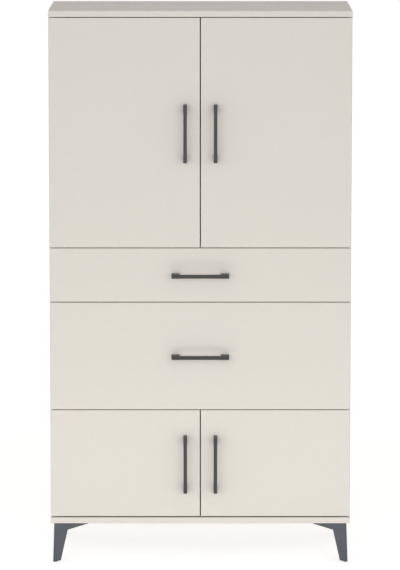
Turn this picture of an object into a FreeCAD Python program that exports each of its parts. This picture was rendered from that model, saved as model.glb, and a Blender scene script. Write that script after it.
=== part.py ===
import FreeCAD, Part
import math
import os

# Tall cabinet on four corner legs: two tall doors, two drawers, two low doors.
# Millimetres. +Z is up, the front faces -Y, and the origin is on the floor, under the
# middle of the whole object with its handles.

V = FreeCAD.Vector
LEFT, BACK, UP = V(-1, 0, 0), V(0, 1, 0), V(0, 0, 1)
RIGHT, FRONT, DOWN = LEFT * -1, BACK * -1, UP * -1

# Carcass
width = 900.0
depth = 400.0  # front edge of the top panel to the outside of the back
height = 1664.0
board = 18.0
edge_round = 1.0  # of the edge bands
back_board = 3.0
back_inset = 2.0  # from the edge of the back to the outside of the carcass

# Fronts
side_reveal = 2.0  # carcass side seen beside a door
front_setback = 1.0  # fronts behind the front edge of the top panel
front_gap = 2.5  # between one front and the next above it, and under the top panel
split_gap = 3.2  # between a left and a right door
floor_gap = 4.0  # between the low doors and the bottom panel
shallow_front_height = 161.0
deep_front_height = 324.0
low_door_height = 324.0

# Handles
handle_length = 171.5
handle_projection = 35.0
handle_post_length = 24.0
handle_post_width = 11.0
handle_bar_width = 10.5
handle_bar_thickness = 8.5
handle_chamfer = 0.8
handle_hole_spacing = 160.0
handle_from_split = 43.5  # handle axis to the free edge of its door
handle_screw_radius = 2.0
handle_screw_grip = 12.0  # length inside the handle
handle_screw_head_radius = 4.0
handle_screw_head = 2.4

# Legs
leg_height = 120.0
leg_wing = 102.0  # width of a wing at the top
leg_inset = 10.0  # from the end of the bottom panel
leg_setback = 8.0  # from the front and rear edges of the bottom panel
leg_splay = 4.0  # how far the corner leans out at the floor
leg_sheet = 3.0
leg_kink_reach = 40.5
leg_kink_drop = 22.0
leg_tip = 3.0
leg_foot_width = 23.5
leg_foot_rise = 4.0  # the foot's inner corner above its outer corner
leg_lift = 1.0  # the foot's outer corner above the floor
leg_chamfer = 2.0
leg_bend = 2.8  # outer radius of the corner
leg_flange_margin = 14.0  # tip of a wing to the end of the flange
leg_flange_sheet = 2.5
leg_flange_corner = 26.0
leg_screw_margin = 14.0
glide_size = 9.0
glide_height = 7.0

# Shelf
shelf_setback = 22.0
shelf_side_play = 1.0
pin_hole_pitch = 32.0
pin_holes_beyond = 2  # spare holes above and below each shelf pin
pin_radius = 2.5
pin_depth = 10.0
pin_reach = 7.5
pin_lug = 8.0
pin_lug_sheet = 1.4
pin_margin = 55.0  # from the edges of the side panel

# Joinery
play = 0.1  # round a fastener in its hole
cam_radius = 7.5
cam_floor = 5.3  # board left under a cam
cam_distance = 34.0
bolt_radius = 3.0
bolt_bore_radius = 4.0
bolt_thread_radius = 2.5
bolt_thread_length = 11.0
dowel_radius = 4.0
dowel_length = 30.0
dowel_in_face = 10.0
joint_margin = 70.0  # cam to the front or rear edge
dowel_from_cam = 32.0
nail_radius = 0.8
nail_length = 15.0
nail_head_radius = 2.0
nail_head = 0.8
nail_pitch = 160.0

# Chipboard screw with a countersunk head
screw_radius = 1.75
screw_length = 13.0
screw_head_radius = 3.2
screw_head = 2.2

# Cross recess for the screwdriver
recess_reach = 1.8
recess_width = 0.9
recess_depth = 1.3
cam_recess_reach = 3.2

# Concealed hinges
cup_radius = 17.5
cup_wall = 1.2
cup_floor = 0.8
cup_depth = 12.5
cup_edge = 3.0  # board left between the cup and the door's edge
cup_rim = 1.0
cup_rim_width = 1.0
wing_length = 58.0
wing_width = 13.0
wing_screw_spacing = 45.0
wing_offset = 9.5
knuckle_radius = 2.2
knuckle_pin_radius = 1.2
knuckle_play = 0.05
knuckle_width = 8.0
knuckle_wall_gap = 0.3
swing_clearance = 0.5  # between the door's swinging corner and the carcass
riser_clearance = 1.3  # between the same corner and the arm
riser_sheet = 2.5
arm_width = 17.0
arm_depth = 10.0
arm_sheet = 1.2
arm_length = 68.0
arm_nose = 8.0
arm_front_gap = 1.0  # arm behind the front edge of the side panel
arm_block_play = 0.3
arm_screw_from_end = 16.0
arm_screw_head = 1.6
arm_screw_length = 8.0
plate_sheet = 3.0
plate_wing_height = 48.0
plate_wing_width = 20.0
plate_screw_spacing = 32.0
plate_line = 37.0  # screw line behind the front edge of the side panel
high_hinge_inset = 92.0
low_hinge_inset = 72.0

# Bumpers on the dividers
bumper_radius = 3.0
bumper_gap = 0.3
bumper_from_middle = 110.0

# Drawers
drawer_board = 16.0
drawer_bottom = 3.0
drawer_rear_space = 22.0  # behind the drawer box
drawer_bottom_rise = 8.0
groove_depth = 6.0
groove_play = 0.2
box_rise = 22.5  # bottom of the box above the bottom of its front
shallow_headroom = 28.5  # top of the box below the top of its front
deep_headroom = 60.5
confirmat_radius = 2.5
confirmat_length = 45.0
confirmat_head_radius = 4.0
confirmat_head = 3.0
box_joint_margin = 28.0

# Telescopic slides
slide_rear_space = 23.0
slide_height = 45.0
slide_thickness = 12.7
slide_sheet = 1.2
slide_play = 0.3
slide_inset = 2.0
slide_lip_gap = 0.5  # end of a flange to the next member's web
slide_screw_margin = 40.0

# Levels in depth
y_front = (handle_projection - front_setback - depth) / 2
y_back = y_front + depth
y_face = y_front + front_setback
y_face_back = y_face + board
y_rear = y_back - back_board

# Levels in height
z_floor_panel = leg_height + board
z_top_panel = height - board
z_low_door = z_floor_panel + floor_gap
z_deep_front = z_low_door + low_door_height + front_gap
z_shallow_front = z_deep_front + deep_front_height + front_gap
z_high_door = z_shallow_front + shallow_front_height + front_gap
high_door_height = z_top_panel - front_gap - z_high_door
z_low_divider = z_deep_front - front_gap / 2 - board / 2
z_high_divider = z_high_door - front_gap / 2 - board / 2
z_shelf = (z_high_divider + z_top_panel) / 2

# Levels across, on the left half
x_outside = -width / 2
x_inside = x_outside + board
x_door = x_outside + side_reveal
x_split = -split_gap / 2
x_box = x_inside + slide_thickness

# Hinge pin on the left half, and the door's corner that swings round it
cup_inner_radius = cup_radius - cup_wall
x_cup = x_door + cup_edge + cup_radius
knuckle_reach = math.sqrt(cup_inner_radius ** 2 - (knuckle_width / 2) ** 2)
x_pin = x_cup - knuckle_reach + knuckle_wall_gap + knuckle_radius
pin_below_back = cup_depth - cup_floor - knuckle_wall_gap - knuckle_radius
y_pin = y_face_back - pin_below_back
swing_radius = math.hypot(x_pin - x_door, pin_below_back)
front_standoff = swing_radius - pin_below_back + swing_clearance
y_carcass = y_face_back + front_standoff

# Drawers and slides
y_slide = y_carcass + slide_inset
slide_length = y_rear - slide_rear_space - y_slide
drawer_length = y_rear - drawer_rear_space - y_face_back


def box(x0, x1, y0, y1, z0, z1):
    return Part.makeBox(x1 - x0, y1 - y0, z1 - z0, V(x0, y0, z0))


def rod(start, direction, radius, length):
    return Part.makeCylinder(radius, length, start, direction)


def mirrored(shape):
    return shape.mirror(V(0, 0, 0), V(1, 0, 0))


def both_sides(shapes):
    return shapes + [mirrored(shape) for shape in shapes]


def prism(points, direction):
    return Part.Face(Part.makePolygon(points + points[:1])).extrude(direction)


def cut_from(shape, tools):
    near = [tool for tool in tools if tool.BoundBox.intersect(shape.BoundBox)]
    return shape.cut(near) if near else shape


def front_board(x0, x1, z0, z1):
    """A door or a drawer front, edge banded all round."""
    piece = box(x0, x1, y_face, y_face_back, z0, z1)
    return piece.makeFillet(edge_round, piece.Edges)


def rounded_ahead(piece):
    """An outer board of the carcass, with every edge rounded but those at its rear."""
    y_last = piece.BoundBox.YMax - edge_round
    return piece.makeFillet(edge_round, [edge for edge in piece.Edges if edge.BoundBox.YMin < y_last])


def rounded_front(piece):
    """An inner board of the carcass, with only the long edges of its front rounded."""
    y_first = piece.BoundBox.YMin + edge_round
    return piece.makeFillet(edge_round, [edge for edge in piece.Edges
                                         if edge.BoundBox.YMax < y_first and edge.Length > 2 * board])


def save(node, shapes):
    shape = shapes[0] if len(shapes) == 1 else Part.makeCompound(shapes)
    shape.exportStep("parts/" + node + ".step")


class Hardware:
    """Fasteners by kind, and the holes that they need."""

    def __init__(self):
        self.pieces = {}
        self.holes = []

    def add(self, kind, piece):
        self.pieces.setdefault(kind, []).append(piece)

    def get(self, kind):
        return self.pieces.get(kind, [])

    def mirror(self):
        for kind in self.pieces:
            self.pieces[kind] = both_sides(self.pieces[kind])
        self.holes = both_sides(self.holes)

    def join(self, other):
        for kind, pieces in other.pieces.items():
            self.pieces.setdefault(kind, []).extend(pieces)
        self.holes.extend(other.holes)


def cross_recess(point, direction, reach):
    """Cross slot in a head that is driven at point along the direction."""
    blade = box(-reach, reach, -recess_width / 2, recess_width / 2, 0, recess_depth)
    cross = blade.fuse(blade.rotated(V(0, 0, 0), UP, 90))
    cross.Placement = FreeCAD.Placement(point, FreeCAD.Rotation(UP, direction))
    return cross


def countersunk_screw(hardware, point, direction):
    """A screw whose flat head is flush with the surface at point."""

    def shape(spare):
        head = Part.makeCone(screw_head_radius + spare, screw_radius + spare, screw_head, point, direction)
        return head.fuse(rod(point, direction, screw_radius + spare, screw_length + spare))

    hardware.add("screws", shape(0).cut(cross_recess(point, direction, recess_reach)))
    hardware.holes.append(shape(play))


def cam_joint(hardware, point, into, cam_side, thickness):
    """A cam bolt that crosses a joint at point into the middle of the panel with the cam."""
    cam_depth = thickness - cam_floor
    bolt_length = cam_distance + bolt_radius
    thread = rod(point, into * -1, bolt_thread_radius, bolt_thread_length)
    bolt = thread.fuse(rod(point, into, bolt_radius, bolt_length))
    cam_centre = point + into * cam_distance
    cam_face = cam_centre + cam_side * (thickness / 2)
    cam = rod(cam_face, cam_side * -1, cam_radius, cam_depth)
    slot = rod(point, into, bolt_radius + play, bolt_length + play)
    recess = cross_recess(cam_face, cam_side * -1, cam_recess_reach)
    hardware.add("bolts", bolt)
    hardware.add("cams", cam.cut([slot, recess]))
    hardware.holes.append(rod(point, into * -1, bolt_thread_radius + play, bolt_thread_length + play))
    hardware.holes.append(rod(point, into, bolt_bore_radius, bolt_length))
    hardware.holes.append(rod(cam_face, cam_side * -1, cam_radius + play, cam_depth + play))


def dowel(hardware, point, into):
    start = point - into * dowel_in_face
    hardware.add("dowels", rod(start, into, dowel_radius, dowel_length))
    hardware.holes.append(rod(start - into * play, into, dowel_radius + play, dowel_length + 2 * play))


def panel_joint(hardware, x, z, into, cam_side):
    """Cams and dowels along one joint of the carcass, near the front and rear edges."""
    for edge, inward in ((y_carcass, 1), (y_rear, -1)):
        y_cam = edge + inward * joint_margin
        cam_joint(hardware, V(x, y_cam, z), into, cam_side, board)
        dowel(hardware, V(x, y_cam + inward * dowel_from_cam, z), into)


def carcass_joinery():
    hardware = Hardware()
    x_side = x_outside + board / 2
    panel_joint(hardware, x_side, z_top_panel, DOWN, RIGHT)
    panel_joint(hardware, x_side, z_floor_panel, UP, RIGHT)
    for z_divider in (z_low_divider, z_high_divider):
        panel_joint(hardware, x_inside, z_divider + board / 2, RIGHT, DOWN)
    hardware.mirror()
    return hardware


def spaced(low, high, pitch):
    """Places from low to high in equal steps of about the pitch."""
    steps = max(1, round((high - low) / pitch))
    return [low + (high - low) * step / steps for step in range(steps + 1)]


def nail(hardware, x, z):
    def shape(spare):
        head = rod(V(x, y_back, z), FRONT, nail_head_radius + spare, nail_head + spare)
        return head.fuse(rod(V(x, y_back, z), FRONT, nail_radius + spare, nail_length + spare))

    hardware.add("nails", shape(0))
    hardware.holes.append(shape(play / 2))


def back_nails():
    hardware = Hardware()
    half = board / 2
    x_edge = x_outside + half
    z_bottom, z_top = leg_height + half, height - half
    z_seam = z_high_divider + half
    quarter = board / 4
    rows = [z_bottom, z_low_divider + half, z_seam - quarter, z_seam + quarter, z_top]
    for z in rows:
        for x in spaced(x_edge, -x_edge, nail_pitch):
            nail(hardware, x, z)
    for low, high in ((z_bottom, z_seam - quarter), (z_seam + quarter, z_top)):
        for z in spaced(low, high, nail_pitch)[1:-1]:
            if abs(z - rows[1]) > nail_head_radius * 3:
                nail(hardware, x_edge, z)
                nail(hardware, -x_edge, z)
    return hardware


def shelf_pins():
    hardware = Hardware()
    z_pin = z_shelf - pin_radius
    spare_steps = range(-pin_holes_beyond, pin_holes_beyond + 1)
    for y in (y_carcass + pin_margin, y_rear - pin_margin):
        start = V(x_inside - pin_depth, y, z_pin)
        stem = rod(start, RIGHT, pin_radius, pin_depth + pin_reach)
        lug = box(x_inside, x_inside + pin_lug_sheet, y - pin_lug / 2, y + pin_lug / 2,
                  z_pin - pin_lug, z_pin)
        hardware.add("pins", stem.fuse(lug))
        for step in spare_steps:
            hole_start = start + UP * (step * pin_hole_pitch) - RIGHT * play
            hardware.holes.append(rod(hole_start, RIGHT, pin_radius + play, pin_depth + play))
    hardware.mirror()
    return hardware


def hinge_cup(z):
    """Cup in the door, with its screw wings and with the hinge pin's holes."""
    y = y_face_back
    shell = rod(V(x_cup, y, z), FRONT, cup_radius, cup_depth)
    rim = rod(V(x_cup, y, z), BACK, cup_radius + cup_rim_width, cup_rim)
    x_wing = x_cup + wing_offset
    wing = box(x_wing - wing_width / 2, x_wing + wing_width / 2, y, y + cup_rim,
               z - wing_length / 2, z + wing_length / 2)
    well = rod(V(x_cup, y + cup_rim, z), FRONT, cup_inner_radius, cup_depth + cup_rim - cup_floor)
    return shell.fuse([rim, wing]).cut([well, hinge_pin(z)])


def hinge_pin(z):
    half = math.sqrt(cup_radius ** 2 - (x_cup - x_pin + knuckle_pin_radius) ** 2)
    return rod(V(x_pin, y_pin, z - half), UP, knuckle_pin_radius, 2 * half)


def hinge_arm(z):
    """Arm on the side panel, whose neck goes down into the cup and round the pin."""
    z0, z1 = z - knuckle_width / 2, z + knuckle_width / 2
    y_arm = y_carcass + arm_front_gap
    y_neck = y_pin - knuckle_radius
    x_riser = x_pin + swing_radius + riser_clearance
    x_arm = x_inside + plate_sheet
    half = arm_width / 2
    knuckle = rod(V(x_pin, y_pin, z0), UP, knuckle_radius, knuckle_width)
    neck = box(x_pin, x_riser + riser_sheet, y_neck, y_pin, z0, z1)
    riser = box(x_riser, x_riser + riser_sheet, y_neck, y_arm + arm_nose, z0, z1)
    body = box(x_arm, x_arm + arm_depth, y_arm, y_arm + arm_length, z - half, z + half)
    inner_half = half - arm_sheet
    hollow = box(x_arm, x_arm + arm_depth - arm_sheet, y_arm + arm_nose, y_arm + arm_length,
                 z - inner_half, z + inner_half)
    eye = rod(V(x_pin, y_pin, z0), UP, knuckle_pin_radius + knuckle_play, knuckle_width)
    return body.cut(hollow).fuse([knuckle, neck, riser]).cut(eye)


def hinge_plate(z):
    """Mounting plate on the side panel, with the block that the arm is clipped over."""
    y_arm = y_carcass + arm_front_gap
    y_line = y_carcass + plate_line
    half_block = arm_width / 2 - arm_sheet - arm_block_play
    x_plate = x_inside + plate_sheet
    wing = box(x_inside, x_plate, y_line - plate_wing_width / 2, y_line + plate_wing_width / 2,
               z - plate_wing_height / 2, z + plate_wing_height / 2)
    spine = box(x_inside, x_plate, y_arm, y_arm + arm_length, z - half_block, z + half_block)
    block = box(x_plate, x_plate + arm_depth - arm_sheet - arm_block_play,
                y_arm + arm_nose + arm_block_play, y_arm + arm_length, z - half_block, z + half_block)
    return wing.fuse([spine, block])


def arm_screw(hardware, z):
    """The screw that clamps the arm on the block of its plate."""
    y = y_carcass + arm_front_gap + arm_length - arm_screw_from_end
    seat = V(x_inside + plate_sheet + arm_depth, y, z)
    head = rod(seat, RIGHT, screw_head_radius, arm_screw_head)
    screw = head.fuse(rod(seat, LEFT, screw_radius, arm_screw_length))
    hardware.add("screws", screw.cut(cross_recess(seat + RIGHT * arm_screw_head, LEFT, recess_reach)))
    hardware.holes.append(rod(seat, LEFT, screw_radius + play, arm_screw_length + play))


def hinge(fixed, moving, z):
    """One hinge of a left door: its fixed half and the half that turns with the door."""
    own_screws = Hardware()
    arm_screw(own_screws, z)
    for side in (-1, 1):
        countersunk_screw(own_screws, V(x_inside + plate_sheet, y_carcass + plate_line,
                                        z + side * plate_screw_spacing / 2), LEFT)
        countersunk_screw(moving, V(x_cup + wing_offset, y_face_back + cup_rim,
                                    z + side * wing_screw_spacing / 2), FRONT)
    fixed.add("arms", cut_from(hinge_arm(z), own_screws.holes))
    fixed.add("plates", cut_from(hinge_plate(z), own_screws.holes))
    fixed.join(own_screws)
    moving.add("cups", cut_from(hinge_cup(z), moving.holes))
    moving.add("cups", hinge_pin(z))
    moving.holes.append(rod(V(x_cup, y_face_back, z), FRONT, cup_radius + play, cup_depth + play))


def bar_handle():
    """Handle that lies along X, on the plane y = 0, with its screw holes."""
    half = handle_length / 2
    half_post = handle_post_width / 2
    half_bar = handle_bar_width / 2
    x_grip = half - handle_post_length
    post = box(x_grip, half, -handle_projection, 0, -half_post, half_post)
    post = post.makeChamfer(handle_chamfer, [edge for edge in post.Edges if edge.CenterOfMass.y < -play])
    bar = box(-x_grip - handle_chamfer, x_grip + handle_chamfer, -handle_projection,
              -handle_projection + handle_bar_thickness, -half_bar, half_bar)
    bar = bar.makeChamfer(handle_chamfer, [edge for edge in bar.Edges if abs(edge.CenterOfMass.x) < play])
    body = bar.fuse([post, mirrored(post)])
    holes = [rod(V(x, 0, 0), FRONT, handle_screw_radius + play, handle_screw_grip + play)
             for x in (-handle_hole_spacing / 2, handle_hole_spacing / 2)]
    return body.cut(holes)


def handle_on(hardware, x, z, along):
    """The handle at x, z on a front, with its two screws through the board."""
    handle = bar_handle()
    if along == UP:
        handle.rotate(V(0, 0, 0), V(0, 1, 0), 90)
    handle.translate(V(x, y_face, z))
    for side in (-1, 1):
        point = V(x, y_face_back, z) + along * (side * handle_hole_spacing / 2)
        shank_length = board + handle_screw_grip
        head = rod(point, BACK, handle_screw_head_radius, handle_screw_head)
        shank = rod(point, FRONT, handle_screw_radius, shank_length)
        recess = cross_recess(point + BACK * handle_screw_head, FRONT, recess_reach)
        hardware.add("screws", head.fuse(shank).cut(recess))
        hardware.holes.append(rod(point, FRONT, handle_screw_radius + play, shank_length))
    return handle


def left_door(name, z, door_height, hinge_inset):
    """A left door with its handle and hinges, and its mirror image. Returns the fixed hardware."""
    fixed, moving = Hardware(), Hardware()
    for z_hinge in (z + hinge_inset, z + door_height - hinge_inset):
        hinge(fixed, moving, z_hinge)
    x_handle = x_split - handle_from_split
    handle = handle_on(moving, x_handle, z + door_height / 2, UP)
    panel = cut_from(front_board(x_door, x_split, z, z + door_height), moving.holes)
    pieces = {"door": [panel], "handle": [handle], "hinge_cups": moving.get("cups"),
              "screws": moving.get("screws")}
    for piece, shapes in pieces.items():
        save(name + "_left_" + piece, shapes)
        save(name + "_right_" + piece, [mirrored(shape) for shape in shapes])
    fixed.mirror()
    return fixed


def channel(s_web, s_lip, half, z):
    """A slide member of the left side, between two distances from the side panel: web and lips."""
    y_end = y_slide + slide_length
    web_side = math.copysign(slide_sheet, s_lip - s_web)
    low, high = sorted((s_web, s_lip))
    web_low, web_high = sorted((s_web, s_web + web_side))
    web = box(x_inside + web_low, x_inside + web_high, y_slide, y_end, z - half, z + half)
    flanges = [box(x_inside + low, x_inside + high, y_slide, y_end, z_flange, z_flange + slide_sheet)
               for z_flange in (z - half, z + half - slide_sheet)]
    return web.fuse(flanges).removeSplitter()


def slide(fixed, moving, z):
    """Telescopic slide of the left side. Returns its middle member."""
    step = slide_sheet + slide_play
    half = slide_height / 2
    lip_room = step + slide_sheet + slide_lip_gap
    outer_screws, inner_screws = Hardware(), Hardware()
    for y in (y_slide + slide_screw_margin, y_slide + slide_length - slide_screw_margin):
        countersunk_screw(outer_screws, V(x_inside + slide_sheet, y, z), LEFT)
        countersunk_screw(inner_screws, V(x_box - slide_sheet, y, z), RIGHT)
    outer = channel(0, slide_thickness - lip_room, half, z)
    middle = channel(step, slide_thickness - slide_sheet - slide_lip_gap, half - step, z)
    inner = channel(slide_thickness, lip_room, half - 2 * step, z)
    fixed.add("slides", cut_from(outer, outer_screws.holes))
    fixed.join(outer_screws)
    moving.add("slides", cut_from(inner, inner_screws.holes))
    moving.join(inner_screws)
    return middle


def confirmat(hardware, point, direction):
    """A long screw through a drawer side into the end of the drawer's back."""

    def shape(spare):
        head = rod(point, direction, confirmat_head_radius + spare, confirmat_head + spare)
        return head.fuse(rod(point, direction, confirmat_radius + spare, confirmat_length + spare))

    hardware.add("screws", shape(0).cut(cross_recess(point, direction, recess_reach)))
    hardware.holes.append(shape(play))


def drawer(name, z, front_height, headroom):
    """A drawer with its front, box, handle and slides. Returns the fixed hardware."""
    fixed, moving = Hardware(), Hardware()
    z_box = z + box_rise
    z_box_top = z + front_height - headroom
    y_box = y_face_back
    y_box_rear = y_box + drawer_length
    y_box_back = y_box_rear - drawer_board
    x_box_inside = x_box + drawer_board
    middle = slide(fixed, moving, (z_box + z_box_top) / 2)
    for z_joint in (z_box + box_joint_margin, z_box_top - box_joint_margin):
        cam_joint(moving, V(x_box + drawer_board / 2, y_box, z_joint), BACK, RIGHT, drawer_board)
        confirmat(moving, V(x_box, y_box_back + drawer_board / 2, z_joint), RIGHT)
    fixed.mirror()
    moving.mirror()
    handle = handle_on(moving, 0, z + front_height / 2, RIGHT)
    z_bottom = z_box + drawer_bottom_rise
    reach = groove_depth - groove_play
    bottom = box(x_box_inside - reach, -x_box_inside + reach, y_box - reach, y_box_back + reach,
                 z_bottom, z_bottom + drawer_bottom)
    groove = box(x_box_inside - groove_depth, -x_box_inside + groove_depth, y_box - groove_depth,
                 y_box_back + groove_depth, z_bottom - groove_play, z_bottom + drawer_bottom + groove_play)
    holes = moving.holes + [groove]
    front = front_board(x_door, -x_door, z, z + front_height)
    side = cut_from(box(x_box, x_box_inside, y_box, y_box_rear, z_box, z_box_top), holes)
    back = box(x_box_inside, -x_box_inside, y_box_back, y_box_rear, z_box, z_box_top)
    save(name + "_front", [cut_from(front, holes)])
    save(name + "_handle", [handle])
    save(name + "_left_side", [side])
    save(name + "_right_side", [mirrored(side)])
    save(name + "_back", [cut_from(back, holes)])
    save(name + "_bottom", [bottom])
    save(name + "_slide_members", moving.get("slides"))
    save(name + "_middle_members", both_sides([middle]))
    save(name + "_fasteners", moving.get("screws") + moving.get("bolts") + moving.get("cams"))
    return fixed


def leg_wing_profile():
    """Outline of a wing: distance from the leg's outer edge at the top, and height."""
    return [(0, leg_height), (leg_wing, leg_height), (leg_wing, leg_height - leg_tip),
            (leg_kink_reach, leg_height - leg_kink_drop),
            (leg_foot_width - leg_splay, leg_lift + leg_foot_rise), (-leg_splay, leg_lift)]


def leg_lean(z):
    """How far the leg's corner leans out at height z."""
    return leg_splay * (leg_height - z) / (leg_height - leg_lift)


def leg_shape():
    """Leg in its own frame: its corner stands over x = 0, y = 0 and its wings run along +X and +Y."""
    profile = leg_wing_profile()
    front = prism([V(u, -leg_lean(z), z) for u, z in profile], V(0, leg_sheet, 0))
    side = prism([V(-leg_lean(z), u, z) for u, z in profile], V(leg_sheet, 0, 0))
    z_flange = leg_height - leg_flange_sheet
    far, near = leg_wing - leg_flange_margin, leg_flange_corner
    flange = prism([V(0, 0, z_flange), V(far, 0, z_flange), V(far, near, z_flange),
                    V(near, far, z_flange), V(0, far, z_flange)], V(0, 0, leg_flange_sheet))
    leg = front.fuse([side, flange]).removeSplitter()
    z_middle = (leg_height + leg_lift) / 2
    lean = leg_lean(z_middle)
    leg = leg.makeFillet(leg_bend, edges_at(leg, [V(-lean, -lean, z_middle)]))
    return leg.makeChamfer(leg_chamfer, edges_at(leg, wing_edge_middles(profile)))


def edges_at(shape, middles):
    return [edge for edge in shape.Edges
            if any(edge.CenterOfMass.distanceToPoint(middle) < play for middle in middles)]


def wing_edge_middles(profile):
    """Middles of the outer edges under the wings and down the inner side of the foot."""
    middles = []
    for (u0, z0), (u1, z1) in zip(profile[2:4], profile[3:5]):
        u, z = (u0 + u1) / 2, (z0 + z1) / 2
        middles += [V(u, -leg_lean(z), z), V(-leg_lean(z), u, z)]
    return middles


def leg_screw_places():
    near = leg_sheet + leg_screw_margin
    far = leg_wing - leg_flange_margin - leg_screw_margin
    return [(near, near), (far, near), (near, far), ((near + far) / 2, (near + far) / 2)]


def leg_glide():
    """Plastic foot in the corner of the leg."""
    start = leg_sheet - leg_lean(glide_height) + play
    return box(start, start + glide_size, start, start + glide_size, 0, glide_height)


def legs():
    """Four legs with their glides and screws, placed under the corners of the bottom panel."""
    hardware = Hardware()
    screws = Hardware()
    for x, y in leg_screw_places():
        countersunk_screw(screws, V(x, y, leg_height - leg_flange_sheet), UP)
    leg = cut_from(leg_shape(), screws.holes)
    x_leg = x_outside + leg_inset
    rows = {"front": (y_front + leg_setback, 1), "rear": (y_back - leg_setback, -1)}
    for row, (y_leg, facing) in rows.items():
        placed = {"leg": [leg], "glides": [leg_glide()], "screws": screws.get("screws"),
                  "holes": screws.holes}
        for kind, shapes in placed.items():
            if facing < 0:
                shapes = [shape.mirror(V(0, 0, 0), V(0, 1, 0)) for shape in shapes]
            placed[kind] = [shape.translated(V(x_leg, y_leg, 0)) for shape in shapes]
        save(row + "_left_leg", placed["leg"])
        save(row + "_right_leg", [mirrored(placed["leg"][0])])
        for kind in ("glides", "screws"):
            hardware.pieces.setdefault(kind, []).extend(both_sides(placed[kind]))
        hardware.holes.extend(both_sides(placed["holes"]))
    return hardware


def bumpers():
    """Soft discs on the front edges of the dividers, just behind the fronts."""
    discs = []
    overlap = (board - front_gap) / 2
    for z_divider in (z_low_divider, z_high_divider):
        for z in (z_divider + overlap / 2, z_divider + board - overlap / 2):
            discs.append(rod(V(-bumper_from_middle, y_carcass, z), FRONT, bumper_radius,
                             front_standoff - bumper_gap))
    return both_sides(discs)


def carcass(hardware):
    """The fixed panels, drilled for all the hardware."""
    left = rounded_front(box(x_outside, x_inside, y_carcass, y_rear, z_floor_panel, z_top_panel))
    panels = {"left_side_panel": left, "right_side_panel": mirrored(left)}
    for node, z in (("top_panel", z_top_panel), ("bottom_panel", leg_height)):
        panels[node] = rounded_ahead(box(x_outside, -x_outside, y_front, y_rear, z, z + board))
    for node, z in (("upper_divider", z_high_divider), ("lower_divider", z_low_divider)):
        panels[node] = rounded_front(box(x_inside, -x_inside, y_carcass, y_rear, z, z + board))
    x_shelf = x_inside + shelf_side_play
    panels["shelf"] = rounded_front(box(x_shelf, -x_shelf, y_carcass + shelf_setback, y_rear,
                                        z_shelf, z_shelf + board))
    x_back = x_outside + back_inset
    z_seam = z_high_divider + board / 2
    panels["upper_back"] = box(x_back, -x_back, y_rear, y_back, z_seam, height - back_inset)
    panels["lower_back"] = box(x_back, -x_back, y_rear, y_back, leg_height + back_inset, z_seam)
    for node, panel in panels.items():
        save(node, [cut_from(panel, hardware.holes)])


def main():
    os.makedirs("parts", exist_ok=True)
    fixed = carcass_joinery()
    fixed.join(back_nails())
    fixed.join(shelf_pins())
    fixed.join(left_door("upper", z_high_door, high_door_height, high_hinge_inset))
    fixed.join(left_door("lower", z_low_door, low_door_height, low_hinge_inset))
    fixed.join(drawer("upper_drawer", z_shallow_front, shallow_front_height, shallow_headroom))
    fixed.join(drawer("lower_drawer", z_deep_front, deep_front_height, deep_headroom))
    fixed.join(legs())
    carcass(fixed)
    save("cam_bolts", fixed.get("bolts"))
    save("cam_locks", fixed.get("cams"))
    save("dowels", fixed.get("dowels"))
    save("back_nails", fixed.get("nails"))
    save("shelf_pins", fixed.get("pins"))
    save("hinge_arms", fixed.get("arms"))
    save("hinge_plates", fixed.get("plates"))
    save("slide_cabinet_members", fixed.get("slides"))
    save("leg_glides", fixed.get("glides"))
    save("cabinet_screws", fixed.get("screws"))
    save("bumpers", bumpers())


main()
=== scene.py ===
import math

import bpy
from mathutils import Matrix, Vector

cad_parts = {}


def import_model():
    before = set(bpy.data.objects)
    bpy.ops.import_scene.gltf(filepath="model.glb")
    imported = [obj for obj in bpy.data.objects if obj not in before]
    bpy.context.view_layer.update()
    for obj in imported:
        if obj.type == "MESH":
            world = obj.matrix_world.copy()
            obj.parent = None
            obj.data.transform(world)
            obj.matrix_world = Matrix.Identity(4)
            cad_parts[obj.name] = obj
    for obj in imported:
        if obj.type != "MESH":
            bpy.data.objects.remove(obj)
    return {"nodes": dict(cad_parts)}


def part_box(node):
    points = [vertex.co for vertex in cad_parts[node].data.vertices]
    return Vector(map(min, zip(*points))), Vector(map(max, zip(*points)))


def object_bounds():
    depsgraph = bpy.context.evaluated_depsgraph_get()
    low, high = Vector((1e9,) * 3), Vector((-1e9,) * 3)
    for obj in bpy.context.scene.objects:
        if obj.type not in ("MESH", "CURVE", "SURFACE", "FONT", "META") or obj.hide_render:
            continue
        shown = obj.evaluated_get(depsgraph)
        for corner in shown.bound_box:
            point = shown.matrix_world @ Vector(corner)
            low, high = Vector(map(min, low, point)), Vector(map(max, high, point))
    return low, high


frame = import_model()
cad_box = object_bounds()

# The camera: metres, degrees, and pixels of the photograph's frame
FRAME_HEIGHT_PX = 570
SENSOR_MM = 36.0
CAMERA_DISTANCE = 10.0  # in front of the doors
CAMERA_SIDE = -0.001  # sets the cabinet a third of a pixel right of the frame's middle
EYE_HEIGHT = 2.43
LOOK_DOWN_DEG = 7.56
FOCAL_PX = 3395.0
SHIFT_Y = -0.15

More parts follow.
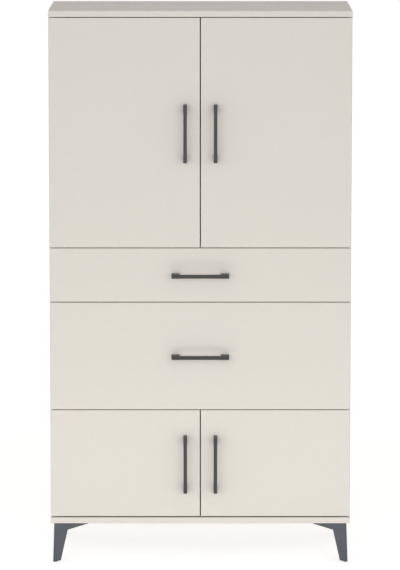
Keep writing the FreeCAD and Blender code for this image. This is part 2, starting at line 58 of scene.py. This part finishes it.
# The studio: metres and watts
WHITE = (1, 1, 1, 1)
SKY_AT_HORIZON = (1.16, 1.16, 1.16, 1)
SKY_AT_ZENITH = (0.27, 0.22, 0.2, 1)  # dimmer and warmer, as under a ceiling
LAMP_WIDTH = 3.6
SOFTBOX_HEIGHT = 1.5
SOFTBOX_DISTANCE = 2.5
SOFTBOX_CENTRE_HEIGHT = 1.2
SOFTBOX_WATTS = 24.0
STRIP_HEIGHT = 0.2
STRIP_DISTANCE = 0.7
STRIP_CENTRE_HEIGHT = 0.12
STRIP_WATTS = 2.75
FLOOR_REACH = 40.0
FLOOR_BOUNCE = 0.86  # share of light that the floor throws back on the object
FLOOR_SHADOW = 0.8  # how much of the floor's shading the camera sees
FLOOR_GLOW = 0.59  # added to that shading, so that the open floor is white

# Colours of the finishes, sRGB in steps of 0 to 255: the darker and the lighter tone
MELAMINE = ((218, 215, 207), (221, 218, 210))
DRAWER_BOARD = ((214, 211, 204), (222, 220, 214))
BOARD_FACE = ((216, 213, 205), (222, 219, 211))
RAW_FIBRE = ((136, 110, 84), (163, 135, 104))
BEECH = ((186, 145, 104), (214, 176, 134))
HANDLE_COAT = ((29, 29, 32), (39, 39, 43))
LEG_COAT = ((67, 72, 81), (76, 81, 90))
BLACK_PLASTIC = ((30, 30, 31), (40, 40, 41))
CLEAR_RUBBER = ((214, 216, 214), (228, 230, 228))
PLATE = ((186, 186, 184), (208, 207, 204))

MELAMINE_SPECULAR = 0.2
RUBBER_TRANSMISSION = 0.45


def linear(steps):
    """Linear RGBA of an sRGB colour given in steps of 0 to 255, by the standard sRGB curve."""
    shares = [step / 255 for step in steps]
    curve = [s / 12.92 if s <= 0.04045 else ((s + 0.055) / 1.055) ** 2.4 for s in shares]
    return (*curve, 1.0)


class Finish:
    """A procedural material. Its textures read each piece's own coordinates, in metres."""

    def __init__(self, name):
        self.material = bpy.data.materials.new(name)
        self.material.use_nodes = True
        self.nodes = self.material.node_tree.nodes
        self.links = self.material.node_tree.links
        self.shader = self.nodes["Principled BSDF"]
        self.coordinates = self.nodes.new("ShaderNodeTexCoord")

    def noise(self, per_metre, detail=2.0, stretch=(1, 1, 1), distortion=0.0):
        """Noise from 0 to 1, with that many grains per metre and shorter along a stretched axis."""
        mapping = self.nodes.new("ShaderNodeMapping")
        mapping.inputs["Scale"].default_value = stretch
        texture = self.nodes.new("ShaderNodeTexNoise")
        texture.inputs["Scale"].default_value = per_metre
        texture.inputs["Detail"].default_value = detail
        texture.inputs["Distortion"].default_value = distortion
        self.links.new(self.coordinates.outputs["Object"], mapping.inputs["Vector"])
        self.links.new(mapping.outputs["Vector"], texture.inputs["Vector"])
        return texture.outputs["Fac"]

    def between(self, value, low, high, start=0.3, end=0.7):
        """A number that goes from low to high as the value goes from start to end."""
        ramp = self.nodes.new("ShaderNodeMapRange")
        ramp.inputs["From Min"].default_value = start
        ramp.inputs["From Max"].default_value = end
        ramp.inputs["To Min"].default_value = low
        ramp.inputs["To Max"].default_value = high
        self.links.new(value, ramp.inputs["Value"])
        return ramp.outputs["Result"]

    def average(self, first, second, share):
        """The first value, with that share of the second one mixed in."""
        mix = self.nodes.new("ShaderNodeMix")
        mix.inputs["Factor"].default_value = share
        self.links.new(first, mix.inputs["A"])
        self.links.new(second, mix.inputs["B"])
        return mix.outputs["Result"]

    def blend(self, factor, first, second):
        """A colour between two, each an output or linear RGBA."""
        mix = self.nodes.new("ShaderNodeMixRGB")
        self.links.new(factor, mix.inputs["Fac"])
        for name, colour in (("Color1", first), ("Color2", second)):
            if isinstance(colour, tuple):
                mix.inputs[name].default_value = colour
            else:
                self.links.new(colour, mix.inputs[name])
        return mix.outputs["Color"]

    def tones(self, value, pair):
        """A colour between the darker and the lighter tone of a pair."""
        darker, lighter = pair
        return self.blend(self.between(value, low=0, high=1), linear(darker), linear(lighter))

    def colour(self, output):
        self.links.new(output, self.shader.inputs["Base Color"])

    def roughness(self, value, low, high):
        self.links.new(self.between(value, low, high), self.shader.inputs["Roughness"])

    def relief(self, height, depth, share=None):
        """Bump of that depth in metres, everywhere or in a share that varies over the surface."""
        bump = self.nodes.new("ShaderNodeBump")
        bump.inputs["Distance"].default_value = depth
        bump.inputs["Strength"].default_value = 1
        if share is not None:
            self.links.new(share, bump.inputs["Strength"])
        self.links.new(height, bump.inputs["Height"])
        self.links.new(bump.outputs["Normal"], self.shader.inputs["Normal"])


def melamine():
    """Matt foil on chipboard: a faint mottle and a fine pearl grain."""
    finish = Finish("matt_melamine")
    mottle = finish.noise(per_metre=60, detail=3)
    grain = finish.noise(per_metre=1400, detail=1)
    finish.colour(finish.tones(finish.average(mottle, grain, share=0.5), MELAMINE))
    finish.roughness(finish.noise(per_metre=35, detail=4), low=0.5, high=0.62)
    finish.shader.inputs["Specular IOR Level"].default_value = MELAMINE_SPECULAR
    finish.relief(grain, depth=0.00002)
    return finish.material


def drawer_board():
    """Foiled drawer sides with a linen emboss of upright and level threads."""
    finish = Finish("linen_drawer_board")
    upright = finish.noise(per_metre=500, stretch=(1, 6, 1))
    level = finish.noise(per_metre=500, stretch=(6, 1, 6))
    linen = finish.average(upright, level, share=0.5)
    finish.colour(finish.tones(linen, DRAWER_BOARD))
    finish.roughness(finish.noise(per_metre=40, detail=4), low=0.5, high=0.62)
    finish.relief(linen, depth=0.00004)
    return finish.material


def thin_board():
    """Hardboard, foiled on its face and raw behind."""
    finish = Finish("hardboard")
    fibres = finish.noise(per_metre=260, detail=6, distortion=2.5)
    clouds = finish.noise(per_metre=30, detail=4)
    face = finish.tones(finish.noise(per_metre=900, detail=1), BOARD_FACE)
    raw = finish.tones(finish.average(fibres, clouds, share=0.2), RAW_FIBRE)
    axes = finish.nodes.new("ShaderNodeSeparateXYZ")
    finish.links.new(finish.coordinates.outputs["Normal"], axes.inputs["Vector"])
    behind = finish.between(axes.outputs["Y"], low=0, high=1, start=0.4, end=0.6)
    finish.colour(finish.blend(behind, face, raw))
    finish.roughness(fibres, low=0.55, high=0.8)
    finish.relief(fibres, depth=0.00005, share=behind)
    return finish.material


def beech():
    """Bare beech with a long grain."""
    finish = Finish("fluted_beech")
    grain = finish.noise(per_metre=420, detail=5, stretch=(0.12, 1, 1), distortion=0.4)
    finish.colour(finish.tones(grain, BEECH))
    finish.roughness(grain, low=0.6, high=0.75)
    finish.relief(grain, depth=0.00008)
    return finish.material


def powder_coat(name, tones, grains, smoothest, roughest):
    """Powder coat with a fine orange peel, of that many grains per metre."""
    finish = Finish(name)
    peel = finish.noise(per_metre=grains, detail=2)
    cloud = finish.noise(per_metre=45, detail=3)
    finish.colour(finish.tones(finish.average(cloud, peel, share=0.5), tones))
    finish.roughness(peel, smoothest, roughest)
    finish.relief(peel, depth=0.00006)
    return finish.material


def black_plastic():
    """Moulded plastic with a fine grain."""
    finish = Finish("moulded_plastic")
    grain = finish.noise(per_metre=900, detail=3)
    finish.colour(finish.tones(grain, BLACK_PLASTIC))
    finish.roughness(grain, low=0.5, high=0.64)
    finish.relief(grain, depth=0.00005)
    return finish.material


def clear_rubber():
    """Soft clear dots, a little cloudy."""
    finish = Finish("soft_clear_dot")
    cloud = finish.noise(per_metre=300, detail=2)
    finish.colour(finish.tones(cloud, CLEAR_RUBBER))
    finish.roughness(cloud, low=0.3, high=0.45)
    finish.shader.inputs["Transmission Weight"].default_value = RUBBER_TRANSMISSION
    finish.relief(cloud, depth=0.00003)
    return finish.material


def plated_steel():
    """Pressed steel with bright plate: rolling lines and cloudy roughness."""
    finish = Finish("plated_steel")
    lines = finish.noise(per_metre=700, detail=4, stretch=(1, 0.05, 1))
    cloud = finish.noise(per_metre=60, detail=3)
    finish.colour(finish.tones(finish.average(lines, cloud, share=0.5), PLATE))
    finish.shader.inputs["Metallic"].default_value = 1
    finish.roughness(cloud, low=0.24, high=0.4)
    finish.relief(lines, depth=0.00001)
    return finish.material


def dress(nodes):
    """Gives each node the finish of its material slot."""
    finishes = {
        "melamine": melamine(),
        "drawer_board": drawer_board(),
        "thin_board": thin_board(),
        "beech": beech(),
        "handle": powder_coat("satin_handle_coat", HANDLE_COAT, grains=1500, smoothest=0.36, roughest=0.48),
        "leg_paint": powder_coat("matt_leg_coat", LEG_COAT, grains=1100, smoothest=0.44, roughest=0.56),
        "glide": black_plastic(),
        "bumper": clear_rubber(),
        "plated_steel": plated_steel(),
    }
    for piece in nodes.values():
        for slot in piece.material_slots:
            slot.material = finishes[slot.material.name]


def camera():
    """The photograph's view. The camera stands further back, because its shift is kept small."""
    doors_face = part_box("upper_left_door")[0].y
    data = bpy.data.cameras.new("camera")
    data.sensor_fit = "AUTO"
    data.sensor_width = SENSOR_MM
    data.lens = FOCAL_PX * SENSOR_MM / FRAME_HEIGHT_PX
    data.shift_y = SHIFT_Y
    piece = bpy.data.objects.new("camera", data)
    bpy.context.scene.collection.objects.link(piece)
    piece.location = (CAMERA_SIDE, doors_face - CAMERA_DISTANCE, EYE_HEIGHT)
    piece.rotation_euler = (math.radians(90 - LOOK_DOWN_DEG), 0, 0)
    bpy.context.scene.camera = piece


def seen_or_mirrored(nodes, links):
    """1 for rays of the camera, and for those that metal or glass sends on, else 0."""
    path = nodes.new("ShaderNodeLightPath")
    total = path.outputs["Is Camera Ray"]
    for ray in ("Is Glossy Ray", "Is Transmission Ray"):
        larger = nodes.new("ShaderNodeMath")
        larger.operation = "MAXIMUM"
        links.new(total, larger.inputs[0])
        links.new(path.outputs[ray], larger.inputs[1])
        total = larger.outputs["Value"]
    return total


def world():
    """A white backdrop, and a sky that lights the object, dimmer and warmer from above."""
    sky = bpy.data.worlds.new("studio")
    bpy.context.scene.world = sky
    sky.use_nodes = True
    nodes, links = sky.node_tree.nodes, sky.node_tree.links
    light = nodes["Background"]
    direction = nodes.new("ShaderNodeTexCoord")
    axes = nodes.new("ShaderNodeSeparateXYZ")
    shade = nodes.new("ShaderNodeMixRGB")
    shade.inputs["Color1"].default_value = SKY_AT_HORIZON
    shade.inputs["Color2"].default_value = SKY_AT_ZENITH
    links.new(direction.outputs["Generated"], axes.inputs["Vector"])
    links.new(axes.outputs["Z"], shade.inputs["Fac"])
    links.new(shade.outputs["Color"], light.inputs["Color"])
    backdrop = nodes.new("ShaderNodeBackground")
    backdrop.inputs["Color"].default_value = WHITE
    mix = nodes.new("ShaderNodeMixShader")
    links.new(seen_or_mirrored(nodes, links), mix.inputs["Fac"])
    links.new(light.outputs["Background"], mix.inputs[1])
    links.new(backdrop.outputs["Background"], mix.inputs[2])
    links.new(mix.outputs["Shader"], nodes["World Output"].inputs["Surface"])


def front_lamp(name, height, distance, centre_height, watts):
    """A wide lamp in front of the object, which faces the doors and drawers."""
    data = bpy.data.lights.new(name, "AREA")
    data.shape = "RECTANGLE"
    data.size, data.size_y = LAMP_WIDTH, height
    data.energy = watts
    lamp = bpy.data.objects.new(name, data)
    bpy.context.scene.collection.objects.link(lamp)
    lamp.location = (0, cad_box[0].y - distance, centre_height)
    towards_fronts = Vector((0, 1, 0))
    lamp.rotation_euler = towards_fronts.to_track_quat("-Z", "Z").to_euler()
    lamp.visible_camera = False


def lamps():
    """A tall softbox for the whole front, and a low strip that favours its lower half."""
    front_lamp("softbox", SOFTBOX_HEIGHT, SOFTBOX_DISTANCE, SOFTBOX_CENTRE_HEIGHT, SOFTBOX_WATTS)
    front_lamp("strip", STRIP_HEIGHT, STRIP_DISTANCE, STRIP_CENTRE_HEIGHT, STRIP_WATTS)


def floor():
    """A pale floor. The camera sees its shading under a glow that makes the open floor white."""
    mesh = bpy.data.meshes.new("floor")
    corners = [(x, y, 0) for x, y in ((-1, -1), (1, -1), (1, 1), (-1, 1))]
    mesh.from_pydata([Vector(corner) * FLOOR_REACH for corner in corners], [], [(0, 1, 2, 3)])
    piece = bpy.data.objects.new("floor", mesh)
    bpy.context.scene.collection.objects.link(piece)
    material = bpy.data.materials.new("floor")
    material.use_nodes = True
    nodes, links = material.node_tree.nodes, material.node_tree.links
    nodes.remove(nodes["Principled BSDF"])
    bounce, shading = (nodes.new("ShaderNodeBsdfDiffuse") for _ in range(2))
    for diffuse, level in ((bounce, FLOOR_BOUNCE), (shading, FLOOR_SHADOW)):
        diffuse.inputs["Color"].default_value = (level, level, level, 1)
    glow = nodes.new("ShaderNodeEmission")
    glow.inputs["Strength"].default_value = FLOOR_GLOW
    seen = nodes.new("ShaderNodeAddShader")
    links.new(shading.outputs["BSDF"], seen.inputs[0])
    links.new(glow.outputs["Emission"], seen.inputs[1])
    mix = nodes.new("ShaderNodeMixShader")
    links.new(seen_or_mirrored(nodes, links), mix.inputs["Fac"])
    links.new(bounce.outputs["BSDF"], mix.inputs[1])
    links.new(seen.outputs["Shader"], mix.inputs[2])
    links.new(mix.outputs["Shader"], nodes["Material Output"].inputs["Surface"])
    mesh.materials.append(material)


camera()
dress(frame["nodes"])
world()
lamps()
floor()
bpy.context.scene.view_settings.view_transform = "Standard"
